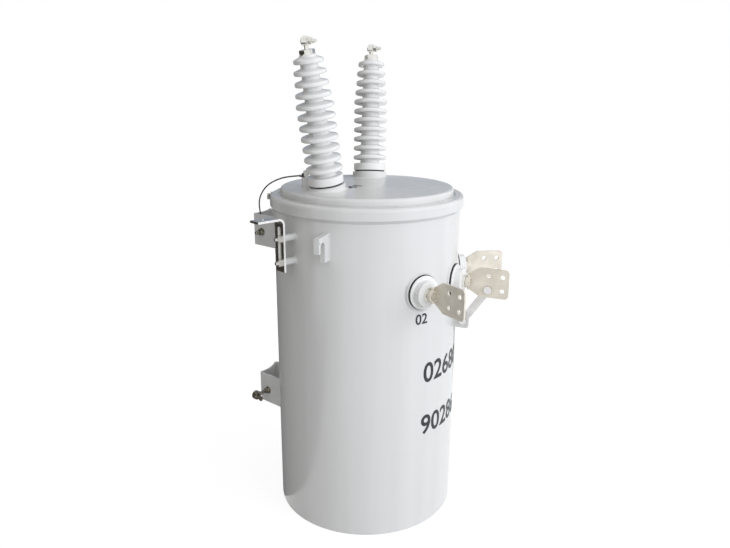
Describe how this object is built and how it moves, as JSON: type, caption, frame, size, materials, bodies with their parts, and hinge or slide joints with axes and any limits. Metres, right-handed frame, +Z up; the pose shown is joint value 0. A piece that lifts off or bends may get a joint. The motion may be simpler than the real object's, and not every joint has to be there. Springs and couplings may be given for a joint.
{
  "type": "pole mounted distribution transformer",
  "caption": "Cylindrical steel tank transformer with porcelain high voltage bushings on a banded cover, spade terminals at the front and pole hanger brackets at the back.",
  "frame": {"origin": "the tank's axis at the floor, centre of the tank wall's lower edge", "axes": "+Z up, -Y towards the low voltage terminals, +Y towards the pole"},
  "size_m": [0.831, 0.8765, 1.5307],
  "materials": {
    "tank_paint": "gloss light grey paint",
    "porcelain": "light grey glaze",
    "gasket_rubber": "black moulded rubber",
    "tinned_terminal": "tin plated",
    "tinned_strap": "tin plated",
    "zinc_steel": "zinc plated",
    "bronze_fitting": "aged bronze",
    "wire_jacket": "dark grey jacket"
  },
  "bodies": {
    "root": {"arrester_bracket_left": "zinc_steel", "arrester_bracket_right": "zinc_steel", "arrester_nuts_left": "zinc_steel", "arrester_nuts_right": "zinc_steel", "arrester_standoffs_left": "tank_paint", "arrester_standoffs_right": "tank_paint", "band_bolt": "zinc_steel", "bond_bolt": "bronze_fitting", "cover_band": "tank_paint", "cover_ground_post": "tank_paint", "ground_connector": "bronze_fitting", "ground_strap": "tinned_strap", "ground_stud": "bronze_fitting", "ground_wire": "wire_jacket", "hv_bushing_left": "porcelain", "hv_bushing_right": "porcelain", "hv_clamp_bolt_left": "tinned_terminal", "hv_clamp_bolt_right": "tinned_terminal", "hv_eyebolt_left": "tinned_terminal", "hv_eyebolt_right": "tinned_terminal", "hv_gaskets": "gasket_rubber", "hv_nut_left": "tinned_terminal", "hv_nut_right": "tinned_terminal", "lifting_lug_left": "tank_paint", "lifting_lug_right": "tank_paint", "lower_hanger_bracket": "tank_paint", "lv_bosses": "tank_paint", "lv_bushing_left": "porcelain", "lv_bushing_middle": "porcelain", "lv_bushing_right": "porcelain", "lv_gaskets": "gasket_rubber", "lv_spade_left": "tinned_terminal", "lv_spade_middle": "tinned_terminal", "lv_spade_right": "tinned_terminal", "lv_stud_left": "tinned_terminal", "lv_stud_middle": "tinned_terminal", "lv_stud_right": "tinned_terminal", "post_bolt": "zinc_steel", "strap_bolts": "zinc_steel", "tank_bottom": "tank_paint", "tank_cover": "tank_paint", "tank_ground_lug": "tank_paint", "tank_shell": "tank_paint", "upper_hanger_bracket": "tank_paint"}
  },
  "joints": []
}
